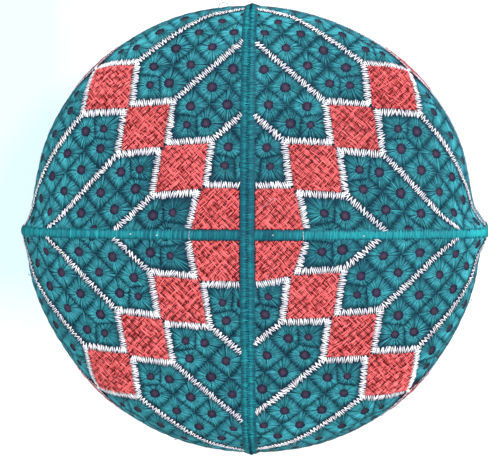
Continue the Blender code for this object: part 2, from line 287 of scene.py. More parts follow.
# %% Sheets
class Sheet:
    """A node tree to write on."""

    def __init__(self, tree):
        self.tree = tree

    def node(self, kind, settings=None, inputs=None, output=0):
        made = self.tree.nodes.new(kind)
        for key, value in (settings or {}).items():
            if key == "stops":
                self.set_stops(made.color_ramp, value)
            else:
                setattr(made, key, value)
        for key, value in (inputs or {}).items():
            if isinstance(value, Wire):
                self.tree.links.new(value.socket, made.inputs[key])
            else:
                made.inputs[key].default_value = value
        return Wire(self, made.outputs[output]) if made.outputs else None

    @staticmethod
    def set_stops(ramp, stops):
        while len(ramp.elements) < len(stops):
            ramp.elements.new(0.5)
        for element, (place, colour) in zip(ramp.elements, stops):
            element.position = place
            element.color = (*colour, 1)

    def mix(self, share, first, second, blend="MIX"):
        """The first colour, with a share of the second blended in."""
        return self.node("ShaderNodeMix", {"data_type": "RGBA", "blend_type": blend},
                         {0: share, 6: rgba(first), 7: rgba(second)}, output=2)

    def split(self, vector):
        """X of a vector. Y and Z are the same node's other outputs."""
        return self.node("ShaderNodeSeparateXYZ", {}, {0: vector})

    def join(self, x, y, z):
        """A vector of three numbers."""
        return self.node("ShaderNodeCombineXYZ", {}, {"X": x, "Y": y, "Z": z})

    def shade_of(self, name):
        """A number stored on the mesh."""
        return self.node("ShaderNodeAttribute", {"attribute_name": name}, {}, output=2)


def rgba(colour):
    return colour if isinstance(colour, Wire) else (*colour, 1)


print("a sheet knows:", [name for name in vars(Sheet) if name[0] != "_"])

# %% [markdown]
# ## One stitch, thousands of times
# A stitch is a short length of thread that comes up through the cloth, lies on it and goes down again.
# One could sweep each as a curve, but there are tens of thousands, and they differ only in place,
# direction and size. So Geometry Nodes make one stitch as a small closed prism with rounded ends
# and set a copy of it on every point of a point cloud. The points carry the stitch's direction,
# the cloth's direction there, and its width and height.
#
# Two trees are built this way, and both begin and end alike. These helpers write those parts once.

# %% Beginning and end of a tree
AXIS_VECTORS = {"X": "along", "Z": "up"}   # the stored vector that each axis of a copy turns to


def start_tree(name, inputs):
    """The sheet of a new shape tree, and its named inputs."""
    tree = bpy.data.node_groups.new(name, "GeometryNodeTree")
    for label, kind in inputs.items():
        tree.interface.new_socket(label, in_out="INPUT", socket_type="NodeSocket" + kind)
    tree.interface.new_socket("Pieces", in_out="OUTPUT", socket_type="NodeSocketGeometry")
    sheet = Sheet(tree)
    first = tree.nodes.new("NodeGroupInput")
    return sheet, {label: Wire(sheet, first.outputs[label]) for label in inputs}


def read_point(sheet, name, kind="FLOAT"):
    return sheet.node("GeometryNodeInputNamedAttribute", {"data_type": kind}, {"Name": name})


def reshape(sheet, mesh, name, value, place):
    """Stores a value on a mesh's points, then moves each point to its place."""
    marked = sheet.node("GeometryNodeStoreNamedAttribute", {"data_type": "FLOAT", "domain": "POINT"},
                        {"Geometry": mesh, "Name": name, "Value": value})
    return sheet.node("GeometryNodeSetPosition", {}, {"Geometry": marked, "Position": place})


def copy_to_points(sheet, points, piece, axes, size, material):
    """Ends a tree: a copy of the piece on every point, turned, sized, made real, smooth and dyed."""
    vectors = [read_point(sheet, AXIS_VECTORS[axis], "FLOAT_VECTOR") for axis in axes]
    turned = sheet.node("FunctionNodeAxesToRotation", {"primary_axis": axes[0], "secondary_axis": axes[1]},
                        dict(enumerate(vectors)))
    copies = sheet.node("GeometryNodeInstanceOnPoints", {}, {
        "Points": points, "Instance": piece, "Rotation": turned, "Scale": size})
    real = sheet.node("GeometryNodeRealizeInstances", {}, {"Geometry": copies})
    rounded = sheet.node("GeometryNodeSetShadeSmooth", {}, {"Geometry": real, "Shade Smooth": True})
    dyed = sheet.node("GeometryNodeSetMaterial", {}, {"Geometry": rounded, "Material": material})
    end = sheet.tree.nodes.new("NodeGroupOutput")
    sheet.tree.links.new(dyed.socket, end.inputs[0])
    return sheet.tree


print("each copy turns its axes to:", AXIS_VECTORS)

# %% [markdown]
# A prism of three sides is the plainest closed thread: its flat side lies on the cloth, and its ridge
# catches the light. It narrows at both ends, because there the thread dips into the cloth.
# No two real stitches are the same size, so a seeded random number varies each one a little.

# %% The stitch tree
STITCH_INPUTS = {"Points": "Geometry", "Sides": "Int", "Lengths": "Int", "Blunt end": "Float",
                 "Arch": "Float", "Unevenness": "Float", "Seed": "Int", "Thread": "Material"}
PRISM_RADIUS = 1 / np.sqrt(3)   # makes a three-sided prism one unit wide
PRISM_HEIGHT = 1.5 * PRISM_RADIUS


def one_stitch(sheet, given):
    """A prism along X with its flat side down, narrowed at the ends and arched in the middle."""
    prism = sheet.node("GeometryNodeMeshCylinder", {"fill_type": "NGON"},
                       {"Vertices": given["Sides"], "Side Segments": given["Lengths"],
                        "Radius": PRISM_RADIUS, "Depth": 1.0})
    laid = sheet.node("GeometryNodeTransform", {}, {"Geometry": prism, "Rotation": (0, -np.pi / 2, 0)})
    spot = sheet.split(sheet.node("GeometryNodeInputPosition"))
    run = spot + 0.5
    hump = 4 * run * (1 - run)
    width = given["Blunt end"] + (1 - given["Blunt end"]) * hump.held().root()
    rise = spot.other("Z") * width / PRISM_HEIGHT + given["Arch"] * hump
    return reshape(sheet, laid, "run", run, sheet.join(spot, spot.other("Y") * width, rise))


def stitch_tree():
    sheet, given = start_tree("stitches_on_points", STITCH_INPUTS)
    uneven = sheet.node("FunctionNodeRandomValue", {"data_type": "FLOAT"},
                        {2: -1.0, 3: 1.0, "Seed": given["Seed"]}, output=1)
    vary = 1 + uneven * given["Unevenness"]
    length = sheet.node("ShaderNodeVectorMath", {"operation": "LENGTH"},
                        {0: read_point(sheet, "along", "FLOAT_VECTOR")}, output="Value")
    size = sheet.join(length * vary, read_point(sheet, "wide") * vary, read_point(sheet, "tall") * vary)
    return copy_to_points(sheet, given["Points"], one_stitch(sheet, given), "XZ", size, given["Thread"])


STITCHES = stitch_tree()
print("stitch tree has", len(STITCHES.nodes), "nodes")

# %% [markdown]
# Points go in as a mesh of loose corners. The modifier's inputs are set by each socket's identifier.
# The evaluated result becomes a plain mesh, the modifier goes, and the piece is named.

# %% Points in, stitches out
finished = []


def new_object(name, points_mm, faces, materials=()):
    """A mesh object in the scene."""
    mesh = bpy.data.meshes.new(name)
    mesh.from_pydata([tuple(p) for p in points_mm * MM], [], faces)
    for material in materials:
        mesh.materials.append(material)
    ob = bpy.data.objects.new(name, mesh)
    bpy.context.scene.collection.objects.link(ob)
    return ob


def point_cloud(name, points_mm, numbers, vectors):
    """A mesh of loose corners that carry numbers and vectors."""
    cloud = new_object(name, points_mm, [])
    for key, values in numbers.items():
        layer = cloud.data.attributes.new(key, "FLOAT", "POINT")
        layer.data.foreach_set("value", values.astype(np.float32))
    for key, values in vectors.items():
        layer = cloud.data.attributes.new(key, "FLOAT_VECTOR", "POINT")
        layer.data.foreach_set("vector", values.astype(np.float32).ravel())
    return cloud


def grow(cloud, tree, settings, spare=()):
    """Runs a tree on a cloud and keeps the result as a plain mesh."""
    modifier = cloud.modifiers.new("threads", "NODES")
    modifier.node_group = tree
    for item in tree.interface.items_tree:
        if item.in_out == "INPUT" and item.name in settings:
            modifier[item.identifier] = settings[item.name]
    seen = cloud.evaluated_get(bpy.context.evaluated_depsgraph_get())
    mesh = bpy.data.meshes.new_from_object(seen)
    cloud.modifiers.remove(modifier)
    old = cloud.data
    cloud.data = mesh
    bpy.data.meshes.remove(old)
    mesh.name = cloud.name
    for key in spare:
        if key in mesh.attributes:
            mesh.attributes.remove(mesh.attributes[key])
    finished.append(cloud)
    triangles = sum(len(face.vertices) - 2 for face in mesh.polygons)
    print(cloud.name, "has", triangles, "triangles")
    return cloud


print("a mm is", MM, "m in the finished meshes")

# %% [markdown]
# Stitches travel as tables with one column for each thing that a point carries, so a whole quarter
# of the cap goes through the tree at once. Making each stitch as an object would take far longer.

# %% Tables of stitches
def join_rows(rows):
    """One table of stitches from several, column by column."""
    return {key: np.concatenate([row[key] for row in rows]) for key in rows[0]}


def lay(start, end, up, wide, tall, shade):
    """Table of straight stitches between two rows of points, in mm."""
    count = len(start)
    full = {"wide": wide, "tall": tall, "shade": shade}
    table = {key: np.broadcast_to(np.asarray(value, float), (count,)) for key, value in full.items()}
    return {"place": (start + end) / 2, "along": end - start, "up": up, **table}


def lay_on_cloth(first, height0, last, height1, wide, tall, shade):
    """Stitches between two rows of places (arc, angle), at a height over the cloth at each end."""
    middle = [(a + b) / 2 for a, b in zip(first, last)]
    return lay(above(*first, height0), above(*last, height1), normal(*middle), wide, tall, shade)


def lay_flat(first, last, to_cloth, middle_deg, height, wide, tall, shade):
    """Stitches between two rows of places (p, q) of a flat panel, at one height over the cloth."""
    first, last = (to_cloth(place[:, 0], place[:, 1], middle_deg) for place in (first, last))
    return lay_on_cloth(first, height, last, height, wide, tall, shade)


def embroider(name, table, thread, seed, blunt=0.55, arch=0.3, uneven=0.1, lengths=2):
    """Sews a table of stitches and gives back the finished piece."""
    cloud = point_cloud(name, table["place"],
                        {"wide": table["wide"] * MM, "tall": table["tall"] * MM, "shade": table["shade"]},
                        {"along": table["along"] * MM, "up": table["up"]})
    settings = {"Sides": 3, "Lengths": lengths, "Blunt end": blunt, "Arch": arch,
                "Unevenness": uneven, "Seed": seed, "Thread": thread}
    return grow(cloud, STITCHES, settings, spare=("along", "up", "wide", "tall"))


one_row = lay(np.zeros((1, 3)), np.ones((1, 3)), np.ones((1, 3)), 0.5, 0.4, 0.5)
print("columns of a table of stitches:", list(one_row))

# %% [markdown]
# ## Thread finishes
# Embroidery thread is many fine glossy fibres with a slight twist. Seen from a distance each stitch
# has one tone of its own, with a painted highlight where it is raised and painted shade where it dips
# into the cloth. So a thread's colour runs between a dark and a light tone by the stitch's stored shade
# and by how far along the stitch the point is.
# A fine noise in the bump stands for the fibres, because a picture of thread would blur from near by.
# From the shoulder down the colour deepens by height: painted shade for the dark line
# along the cap's outline.

# %% Parts that all finishes share
# painted shade: the thread colours are darkened between these heights and below them
UNSHADED_ABOVE, DARK_BELOW = 0.063, 0.058   # m above the floor
WALL_SHADE = (0.58, 0.6, 0.66)   # what is left of the colour there


def linear(red, green, blue):
    """A colour as the eye counts it, 0 to 255, turned into light."""
    return tuple(float(c) for c in (np.array([red, green, blue]) / 255) ** 2.2)


def blank(name):
    """A new material's sheet and shader node."""
    material = bpy.data.materials.new(name)
    material.use_nodes = True
    return material, Sheet(material.node_tree), material.node_tree.nodes["Principled BSDF"]


def object_place(sheet):
    return sheet.node("ShaderNodeTexCoord", {}, {}, "Object")


def noise(sheet, scale, detail=2.0):
    """Noise between 0 and 1 over the object's own place."""
    return sheet.node("ShaderNodeTexNoise", {},
                      {"Vector": object_place(sheet), "Scale": scale, "Detail": detail})


def finish_with(sheet, shader, colour, rough, height, strength, distance):
    """Joins colour, roughness and relief to the shader."""
    bump = sheet.node("ShaderNodeBump", {}, {"Strength": strength, "Distance": distance, "Height": height})
    for key, value in {"Base Color": colour, "Roughness": rough, "Normal": bump}.items():
        sheet.tree.links.new(value.socket, shader.inputs[key])
    shader.inputs["Specular IOR Level"].default_value = 0.2


def painted_wall_shade(sheet, colour):
    """The colour, multiplied by another from the shoulder down: painted shade on the wall."""
    height = sheet.split(object_place(sheet)).other("Z")
    below = ((UNSHADED_ABOVE - height) / (UNSHADED_ABOVE - DARK_BELOW)).held()
    return sheet.mix(below, colour, WALL_SHADE, "MULTIPLY")


print("white at half the eye's brightness gives this much light:", round(linear(128, 128, 128)[0], 2))

# %% Thread materials
def thread_finish(name, dark, light, by_run, by_shade, by_ends=0.0, patch=0.12):
    """Thread between two tones: lighter by by_run at a stitch's start, a painted highlight where it is
    raised, and by by_shade with its stored shade, darker by by_ends at both ends, painted shade where it
    dips into the cloth, and cloudy by patch."""
    material, sheet, shader = blank(name)
    shade = sheet.shade_of("shade")
    run = sheet.shade_of("run")
    hump = 4 * run * (1 - run)
    cloudy = noise(sheet, 28.0)
    # painted highlight at the raised start and painted shade at the ends, where the thread dips
    tone = (1 - run) * by_run + shade * by_shade + (hump - 1) * by_ends + (cloudy - 0.5) * patch * 2
    # painted shade on the wall below the shoulder
    colour = painted_wall_shade(sheet, sheet.mix(tone.held(), dark, light))
    fibres = noise(sheet, 5200.0, 1.0)
    rough = 0.55 + (noise(sheet, 900.0) - 0.5) * 0.2
    finish_with(sheet, shader, colour, rough, fibres, strength=0.35, distance=0.00015)
    return material


TEAL_THREAD = thread_finish("teal_thread", linear(8, 62, 82), linear(74, 180, 192), 0.4, 0.72)
TEAL_BAND_THREAD = thread_finish("teal_band_thread", linear(4, 82, 98), linear(40, 164, 170), 0.0, 1.0)
DARK_TEAL_THREAD = thread_finish("dark_teal_thread", linear(2, 26, 46), linear(10, 56, 78), 0.0, 1.0)
WHITE_THREAD = thread_finish("white_thread", linear(192, 190, 206), linear(252, 252, 255), 0.0, 1.0,
                             patch=0.05)
CORAL_THREAD = thread_finish("coral_thread", linear(134, 0, 8), linear(255, 121, 124), 0.0, 1.0,
                             by_ends=0.32, patch=0.1)
print("thread materials:", [m.name for m in bpy.data.materials if m.name.endswith("thread")])

# %% [markdown]
# ## The cloth under the threads
# The ground is a dark plum-blue plain weave. It shows in the bare spots, in the gaps between cells
# and inside the cap. The weave follows the cloth, so it reads the mesh's own map of arc and girth
# in centimetres. Inside, the backs of the teal stitches show through as a speckle.

# %% Ground cloth materials
WEAVE_REPEAT = 0.09   # cm


def weave(sheet, per_unit):
    """A plain weave's height from the cloth's own map."""
    place = sheet.split(sheet.node("ShaderNodeTexCoord", {}, {}, "UV"))
    warp = (place * per_unit).sine()
    weft = (place.other("Y") * per_unit).sine()
    return warp * weft * 0.5 + 0.5


def cloth_finish(name, dark, light, fleck, fleck_share):
    """Plain weave between two tones, with flecks of a third."""
    material, sheet, shader = blank(name)
    woven = weave(sheet, 2 * np.pi / WEAVE_REPEAT)
    cloudy = noise(sheet, 60.0)
    ground = sheet.mix((woven * 0.6 + cloudy * 0.4).held(), dark, light)
    specks = sheet.node("ShaderNodeValToRGB", {"stops": [(0.52, (0, 0, 0)), (0.6, (1, 1, 1))]},
                        {0: noise(sheet, 420.0)})
    colour = sheet.mix(specks * fleck_share, ground, fleck)
    rough = 0.8 + woven * 0.12
    finish_with(sheet, shader, colour, rough, woven, strength=0.5, distance=0.0002)
    return material


GROUND = cloth_finish("ground_cloth", linear(8, 32, 48), linear(26, 52, 70), linear(12, 62, 78), 0.45)
INSIDE = cloth_finish("inside_cloth", linear(34, 32, 50), linear(66, 60, 82), linear(18, 92, 104), 0.6)
print("cloth materials:", GROUND.name, "and", INSIDE.name)

# %% [markdown]
# A panel is a wall 2 mm thick. The solid panel has the right shape with few faces, and subdividing it
# would round off its seams. So a finer net on the same formula replaces it here,
# closed at the seams and the lower edge.

# %% The net of a cloth panel
PANEL_COLUMNS = 90 * smooth(np.linspace(0, 1, 49))   # degrees from a seam, closer at both seams
PANEL_ARCS = np.concatenate([np.linspace(2.0, SHOULDER_START, 26),
                             np.linspace(SHOULDER_START, SHOULDER_END, 22)[1:],
                             np.linspace(SHOULDER_END, PANEL_ARC, 16)[1:]])


def panel_mesh(start_deg):
    """Points in mm, outer faces, other faces and map of one panel."""
    arc, angle = np.meshgrid(PANEL_ARCS, start_deg + PANEL_COLUMNS, indexing="ij")
    outer = skin(arc, angle)
    facing = normal(arc, angle)
    for column, seam in ((0, start_deg), (-1, start_deg + 90)):
        side = np.array([-np.sin(np.radians(seam)), np.cos(np.radians(seam)), 0.0])
        facing[:, column] = unit(facing[:, column] - np.outer(facing[:, column] @ side, side))
    inner = outer - facing * CLOTH
    inner[-1, :, 2] = outer[-1, :, 2]
    rows, cols = arc.shape
    crown = rows * cols
    top = np.array([0, 0, APEX]) + SHIFT
    middle = np.radians(start_deg + 45)
    apart = np.array([np.cos(middle), np.sin(middle), 0]) * SEAM_GAP / np.sqrt(2)
    walls = [outer.reshape(-1, 3), [top], inner.reshape(-1, 3), [top - [0, 0, CLOTH]]]
    points = np.concatenate(walls) + apart
    net = np.arange(crown).reshape(rows, cols)
    quads = np.stack([net[:-1, :-1], net[1:, :-1], net[1:, 1:], net[:-1, 1:]], -1).reshape(-1, 4)
    outside = quads.tolist() + [[crown, j, j + 1] for j in range(cols - 1)]
    under = crown + 1   # added to an outer corner's number, gives the inner one's
    inside = [[under + corner for corner in reversed(face)] for face in outside]
    ring = [crown] + net[:, 0].tolist() + net[-1, 1:].tolist() + net[-2::-1, -1].tolist()
    edge = [(a, under + a, under + b, b) for a, b in zip(ring, ring[1:] + ring[:1])]
    around = np.radians(angle - start_deg) * profile(arc)[0]
    place_on_cloth = np.stack([arc, around], -1).reshape(-1, 2) / 10
    map_points = np.tile(np.concatenate([place_on_cloth, [[0, 0]]]), (2, 1))
    return points, outside, edge + inside, map_points


print("outer points of a panel:", len(PANEL_ARCS) * len(PANEL_COLUMNS))

# %% Make the four panels
def cloth_panel(long_name, start_deg):
    points, outside, rest, map_points = panel_mesh(start_deg)
    ob = new_object("cloth_" + long_name, points, outside + rest, [GROUND, INSIDE])
    finished.append(ob)
    mesh = ob.data
    mesh.polygons.foreach_set("material_index", [0] * len(outside) + [1] * len(rest))
    corners = np.zeros(len(mesh.loops), dtype=np.int32)
    mesh.loops.foreach_get("vertex_index", corners)
    cloth_map = mesh.uv_layers.new(name="cloth_map")
    cloth_map.data.foreach_set("uv", map_points[corners].astype(np.float32).ravel())
    mesh.shade_smooth()
    mesh.set_sharp_from_angle(angle=np.radians(50))
    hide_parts("panel_" + long_name)
    return ob


for quarter, middle_deg in PANELS.items():
    panel = cloth_panel(quarter, middle_deg - 45)
    print(panel.name, "has", len(panel.data.polygons), "faces")

# %% [markdown]
# ## Where the eyelets sit
# Between two white lines run two rows of eyelets, about 12 mm apart, and one smaller eyelet fills
# the notch between two squares. The stitches round an eyelet reach to halfway to the next one,
# to the white line or to the square, whichever is nearer. So a ray is cast from each eyelet in
# each direction on the flat panel, and the nearest of these limits ends it.

# %% Eyelet places on the flat panel
ROW_SHARES = (0.30, 0.72)   # of the way from one white line to the next
NOTCH_SHARE = 0.51
FIRST_COLUMN, NOTCH_ACROSS = 19.3, 13.0   # mm across, nearest the squares
# the same in the strip by the first square, on each side of the middle line
FIRST_COLUMN_INSIDE = {"lengthwise": 19.5, "crosswise": 21.0}
NOTCH_INSIDE = {"lengthwise": 13.2, "crosswise": 14.6}
COLUMN_STEP, MOST_COLUMNS = 11.8, 7
BAND_HALF = {"lengthwise": 2.9, "crosswise": 2.0}   # mm, half width of each seam band
LINE_ROOM = 1.4   # mm from a white line's middle to the ends of the teal stitches
BORDER_ROOM = 2.8   # mm from a coral square to the ends of the teal stitches
LONGEST_RAY = 9.0
SPOT_RADIUS, NOTCH_SPOT = 2.08, 1.78   # mm, bare spot of an eyelet and of a notch eyelet
STRIP_EDGES = np.append(LINES, LINES[-1] + 24.0)
LAST_STRIP = len(LINES) - 1
BELOW_LAST = (151.6, 4.9)   # mm, an eyelet beside the middle line under the last square


def strip_eyelets(strip, side):
    """Places (p, q) of one strip's eyelets on one side of the middle line, the notch eyelet first."""
    low, high = STRIP_EDGES[strip], STRIP_EDGES[strip + 1]
    rows = [low + share * (high - low) for share in ROW_SHARES]
    first_column = FIRST_COLUMN if strip else FIRST_COLUMN_INSIDE[side]
    columns = first_column + COLUMN_STEP * np.arange(MOST_COLUMNS)
    notch = (low + NOTCH_SHARE * (high - low), NOTCH_ACROSS if strip else NOTCH_INSIDE[side])
    below = [BELOW_LAST] if strip == LAST_STRIP else []
    return np.array([notch] + [(p, q) for q in columns for p in rows] + below)


print("eyelets in one strip's side:", len(strip_eyelets(2, "lengthwise")))

# %% How far a stitch may run
def strip_limits(strip):
    """Half planes that bound a strip: unit direction (p, q) and the furthest value along it."""
    low, high = STRIP_EDGES[strip], STRIP_EDGES[strip + 1]
    limits = [((1.0, 0.0), high - LINE_ROOM), ((-1.0, 0.0), -(low + LINE_ROOM))]
    beyond = min(strip + 1, LAST_STRIP)
    # the nearer and the further square: its corner on the middle line, and its side corner
    squares = [(CHAIN[strip + 1], low, HALF_ACROSS[strip], -1),
               (STARTS[beyond], high, HALF_ACROSS[beyond], 1)]
    if strip == LAST_STRIP:
        limits.append(((0.0, -1.0), 0.0))
        squares.pop()
    for tip, line, half, flip in squares:
        across = unit(np.array([half, tip - line])) * flip
        limits.append((across, across[0] * tip - BORDER_ROOM))
    return limits


def cell_reach(eyelets, index, directions, limits):
    """How far each direction runs from an eyelet before its cell ends."""
    here = eyelets[index]
    gaps = np.delete(eyelets, index, axis=0) - here
    rooms = [(gap, (gap @ gap) / 2) for gap in gaps]
    rooms += [(np.array(across), most - here @ np.array(across)) for across, most in limits]
    reach = np.full(len(directions), LONGEST_RAY)
    for facing, room in rooms:
        toward = directions @ facing
        reach = np.where(toward > 1e-6, np.minimum(reach, room / np.maximum(toward, 1e-9)), reach)
    return reach


two_ways = np.array([[1.0, 0.0], [0.0, 1.0]])
one_reach = cell_reach(strip_eyelets(2, "lengthwise"), 3, two_ways, strip_limits(2))
print("one eyelet's reach outward and across in mm:", np.round(one_reach, 1))

# %% [markdown]
# Each ray becomes one stitch. It starts high at the rim of the bare spot, where the stitches crowd
# together, and ends low in the cloth. Rays spread apart, so a shorter stitch fills each space between
# two of them from halfway out. The part of a ray that would lie under a seam band or past
# the rim is cut off by testing a few points along it.

# %% Rays of one eyelet
RAYS, NOTCH_RAYS = 48, 40
PROBES = np.linspace(0, 1, 9)
THREAD_WIDE, THREAD_TALL = 0.35, 0.34
BETWEEN_WIDE, BETWEEN_TALL = 0.33, 0.3
RING_HEIGHT, FOOT_HEIGHT = 0.45, 0.24   # mm over the cloth, at a stitch's start and end
UNDER_BAND, OFF_RIM = 0.8, 0.6   # mm that a stitch may go under a band, and keeps off the rim
END_STRAY, SHORTEST = 0.26, 0.5   # mm
# a notch eyelet's stitches are painted darker: painted shade where they lie flat in the notch
SHADE_SPREAD, NOTCH_DARKER, BETWEEN_DARKER = 0.27, 0.12, 0.1
# eyelets nearer the crown's middle get darker stitches: painted shade
CROWN_FROM_TO, CROWN_TONES = (32.0, 60.0), (-0.26, 0.0)   # mm from the middle, and the change in shade there


def clip_to_panel(p, q, middle_deg, side):
    """First and last probe of each ray that lies on the open cloth, and whether any does."""
    arc, angle = pattern(p, q, middle_deg)
    open_cloth = room_to_seam(arc, angle, middle_deg) > BAND_HALF[side] - UNDER_BAND
    open_cloth &= arc < PANEL_ARC - OFF_RIM
    first = open_cloth.argmax(1)
    last = len(PROBES) - 1 - open_cloth[:, ::-1].argmax(1)
    return first, last, open_cloth.any(1) & (last > first)


def rays_of(cell, turn, start_at, wide, tall, tone):
    """Table of the stitches that run out from a cell's eyelet in the given directions."""
    eyelets, index, limits, middle_deg, sign, side = cell
    directions = np.stack([np.cos(turn), np.sin(turn)], 1)
    reach = cell_reach(eyelets, index, directions, limits) - chance.uniform(0.0, END_STRAY, len(turn))
    along = start_at[:, None] + (reach - start_at)[:, None] * PROBES
    p = eyelets[index][0] + along * directions[:, :1]
    q = (eyelets[index][1] + along * directions[:, 1:]) * sign
    first, last, used = clip_to_panel(p, q, middle_deg, side)
    used &= reach > start_at + SHORTEST
    pick = np.arange(len(turn))[used]
    first, last = first[used], last[used]
    start, end = (pattern(p[pick, probe], q[pick, probe], middle_deg) for probe in (first, last))
    slope = (FOOT_HEIGHT - RING_HEIGHT) / np.maximum(reach - SPOT_RADIUS, 1.0)
    far = (along - SPOT_RADIUS) * slope[:, None] + RING_HEIGHT
    lift = chance.uniform(-0.05, 0.08, len(pick))
    shade = np.clip(tone + chance.normal(0, SHADE_SPREAD, len(pick)), 0, 1)
    return lay_on_cloth(start, far[pick, first] + lift, end, far[pick, last] + lift, wide, tall, shade)


print("turn from ray to ray in degrees:", 360 / RAYS, "and", 360 / NOTCH_RAYS)

# %% All eyelets
def eyelet_stitches(cell):
    """Long stitches round one eyelet and the short ones between them, as two tables."""
    eyelets, index = cell[:2]
    notch = index == 0
    rays = NOTCH_RAYS if notch else RAYS
    spot = (NOTCH_SPOT if notch else SPOT_RADIUS) * chance.uniform(0.93, 1.08)
    turn = chance.uniform(0, 2 * np.pi) + np.arange(rays) * 2 * np.pi / rays
    turn = turn + chance.normal(0, 0.2 * 2 * np.pi / rays, rays)
    # painted shade towards the crown's middle
    crown_tone = np.interp(np.hypot(*eyelets[index]), CROWN_FROM_TO, CROWN_TONES)
    # painted shade on notch eyelets
    tone = chance.normal(0.5, 0.07) - (NOTCH_DARKER if notch else 0.0) + crown_tone
    start_at = spot + chance.uniform(-0.15, 0.15, rays)
    halfway = spot + chance.uniform(1.0, 2.0, rays)
    long_ones = rays_of(cell, turn, start_at, THREAD_WIDE, THREAD_TALL, tone)
    short_ones = rays_of(cell, turn + np.pi / rays, halfway, BETWEEN_WIDE, BETWEEN_TALL,
                         tone - BETWEEN_DARKER)
    return long_ones, short_ones


def eyelet_spot(eyelet, middle_deg, sign, notch):
    """Place and radius of an eyelet's bare spot, or None under a band or past the rim."""
    arc, angle = pattern(eyelet[0], eyelet[1] * sign, middle_deg)
    if room_to_seam(arc, angle, middle_deg) < 1.0 or arc > PANEL_ARC - 1.5:
        return None
    return float(arc), float(angle), NOTCH_SPOT if notch else SPOT_RADIUS


spots = []
for quarter, middle_deg in PANELS.items():
    long_rows, short_rows = [], []
    for sign in (1, -1):
        side = "lengthwise" if sign == toward_lengthwise(middle_deg) else "crosswise"
        for strip in range(len(LINES)):
            eyelets = strip_eyelets(strip, side)
            limits = strip_limits(strip)
            for index, eyelet in enumerate(eyelets):
                long_ones, short_ones = eyelet_stitches((eyelets, index, limits, middle_deg, sign, side))
                long_rows.append(long_ones)
                short_rows.append(short_ones)
                if len(long_ones["wide"]):
                    spots.append(eyelet_spot(eyelet, middle_deg, sign, index == 0))
    embroider("eyelet_stitches_" + quarter, join_rows(long_rows), TEAL_THREAD, seed=21, blunt=0.6, arch=0.12)
    embroider("eyelet_short_stitches_" + quarter, join_rows(short_rows), TEAL_THREAD,
              seed=22, blunt=0.6, arch=0.0, lengths=1)
spots = [spot for spot in spots if spot]
print("eyelets with a bare spot:", len(spots))

# %% [markdown]
# ## The bare spots
# Inside its ring of stitches an eyelet shows the ground cloth, plum in the middle and nearly black
# where the ring shades it. A spot is a small shallow dish. A second tree sets one on each place
# and stores the distance from its middle, which the finish reads.

# %% The spot tree
SPOT_INPUTS = {"Points": "Geometry", "Corners": "Int", "Rim rise": "Float", "Cloth": "Material"}


def spot_tree():
    sheet, given = start_tree("spots_on_points", SPOT_INPUTS)
    dish = sheet.node("GeometryNodeMeshCone", {"fill_type": "NONE"},
                      {"Vertices": given["Corners"], "Side Segments": 2,
                       "Radius Top": 0.0, "Radius Bottom": 1.0, "Depth": 1.0})
    spot = sheet.split(sheet.node("GeometryNodeInputPosition"))
    away = (spot * spot + spot.other("Y") * spot.other("Y")).root()
    place = sheet.join(spot, spot.other("Y"), away * away * given["Rim rise"])
    wide = read_point(sheet, "wide")
    return copy_to_points(sheet, given["Points"], reshape(sheet, dish, "away", away, place), "ZX",
                          sheet.join(wide, wide, wide), given["Cloth"])


def spot_finish():
    material, sheet, shader = blank("bare_spot_cloth")
    # the darker outer stops are painted shade where the ring of stitches shades the spot
    stops = [(0.0, linear(66, 50, 68)), (0.4, linear(50, 40, 60)),
             (0.68, linear(24, 30, 50)), (1.0, linear(8, 24, 42))]
    away = sheet.shade_of("away") + (noise(sheet, 700.0) - 0.5) * 0.9
    colour = sheet.node("ShaderNodeValToRGB", {"stops": stops}, {0: away.held()})
    fibres = noise(sheet, 2600.0, 2.0)
    rough = 0.8 + (fibres - 0.5) * 0.1
    finish_with(sheet, shader, colour, rough, fibres, strength=0.6, distance=0.0002)
    return material


print("bare spots are about", 2 * SPOT_RADIUS, "mm wide, in the notches", 2 * NOTCH_SPOT)

# %% Set the spots
def set_spots():
    arc, angle, radius = np.array(spots).T
    place = above(arc, angle, 0.12)
    up = normal(arc, angle)
    along = skin(arc + 1, angle) - skin(arc, angle)
    cloud = point_cloud("eyelet_spots", place, {"wide": (radius + 0.35) * MM}, {"up": up, "along": along})
    settings = {"Corners": 14, "Rim rise": 0.1, "Cloth": spot_finish()}
    return grow(cloud, spot_tree(), settings, spare=("up", "along", "wide"))


set_spots()

# %% [markdown]
# ## White outline stitching
# Every square is edged in white, and a white line runs from each square's side corners to both seams.
# The edge is a comb of slanted stitches that lie wholly outside the coral, and where two squares
# touch corner to corner it stops short of the corner. A flat white strip would be quicker to make,
# but the gaps and ragged ends are what makes it look sewn. So the path is a chain of straight legs
# on the flat panel, and stitches are set along it at a fixed step.
# The first square is drawn as seen from above instead, because the seam bands cut it short.

# %% White paths on the flat panel
WHITE_LINE_STEP, WHITE_EDGE_STEP = 0.82, 0.8   # mm between stitches
WHITE_LINE_HALF, WHITE_EDGE_HALF = 1.35, 1.45   # mm, half length of a stitch
EDGE_OFFSET = 1.45   # mm from the coral to the middle of its white edge
TRIM, EXTEND = 1.3, 1.1   # mm that an edge stops short of a chain corner and passes a side corner
LINE_WIDE, EDGE_WIDE, WHITE_TALL = 0.54, 0.62, 0.36
WHITE_HEIGHT, WHITE_LIFT = 0.5, 0.14   # mm over the cloth, and how much more at most
ZIGZAG = 0.2   # slant of a line's stitches, by turns
DRIFT, DRIFT_HOLD, SLANT_SPREAD = 0.26, 5, 0.12   # slow drift of the slant, its stitches, and chance on top
FIRST_LONG, FIRST_CROSS = (3.4, 18.7), (22.6, 2.5)   # mm seen from above, first square's corners at the bands


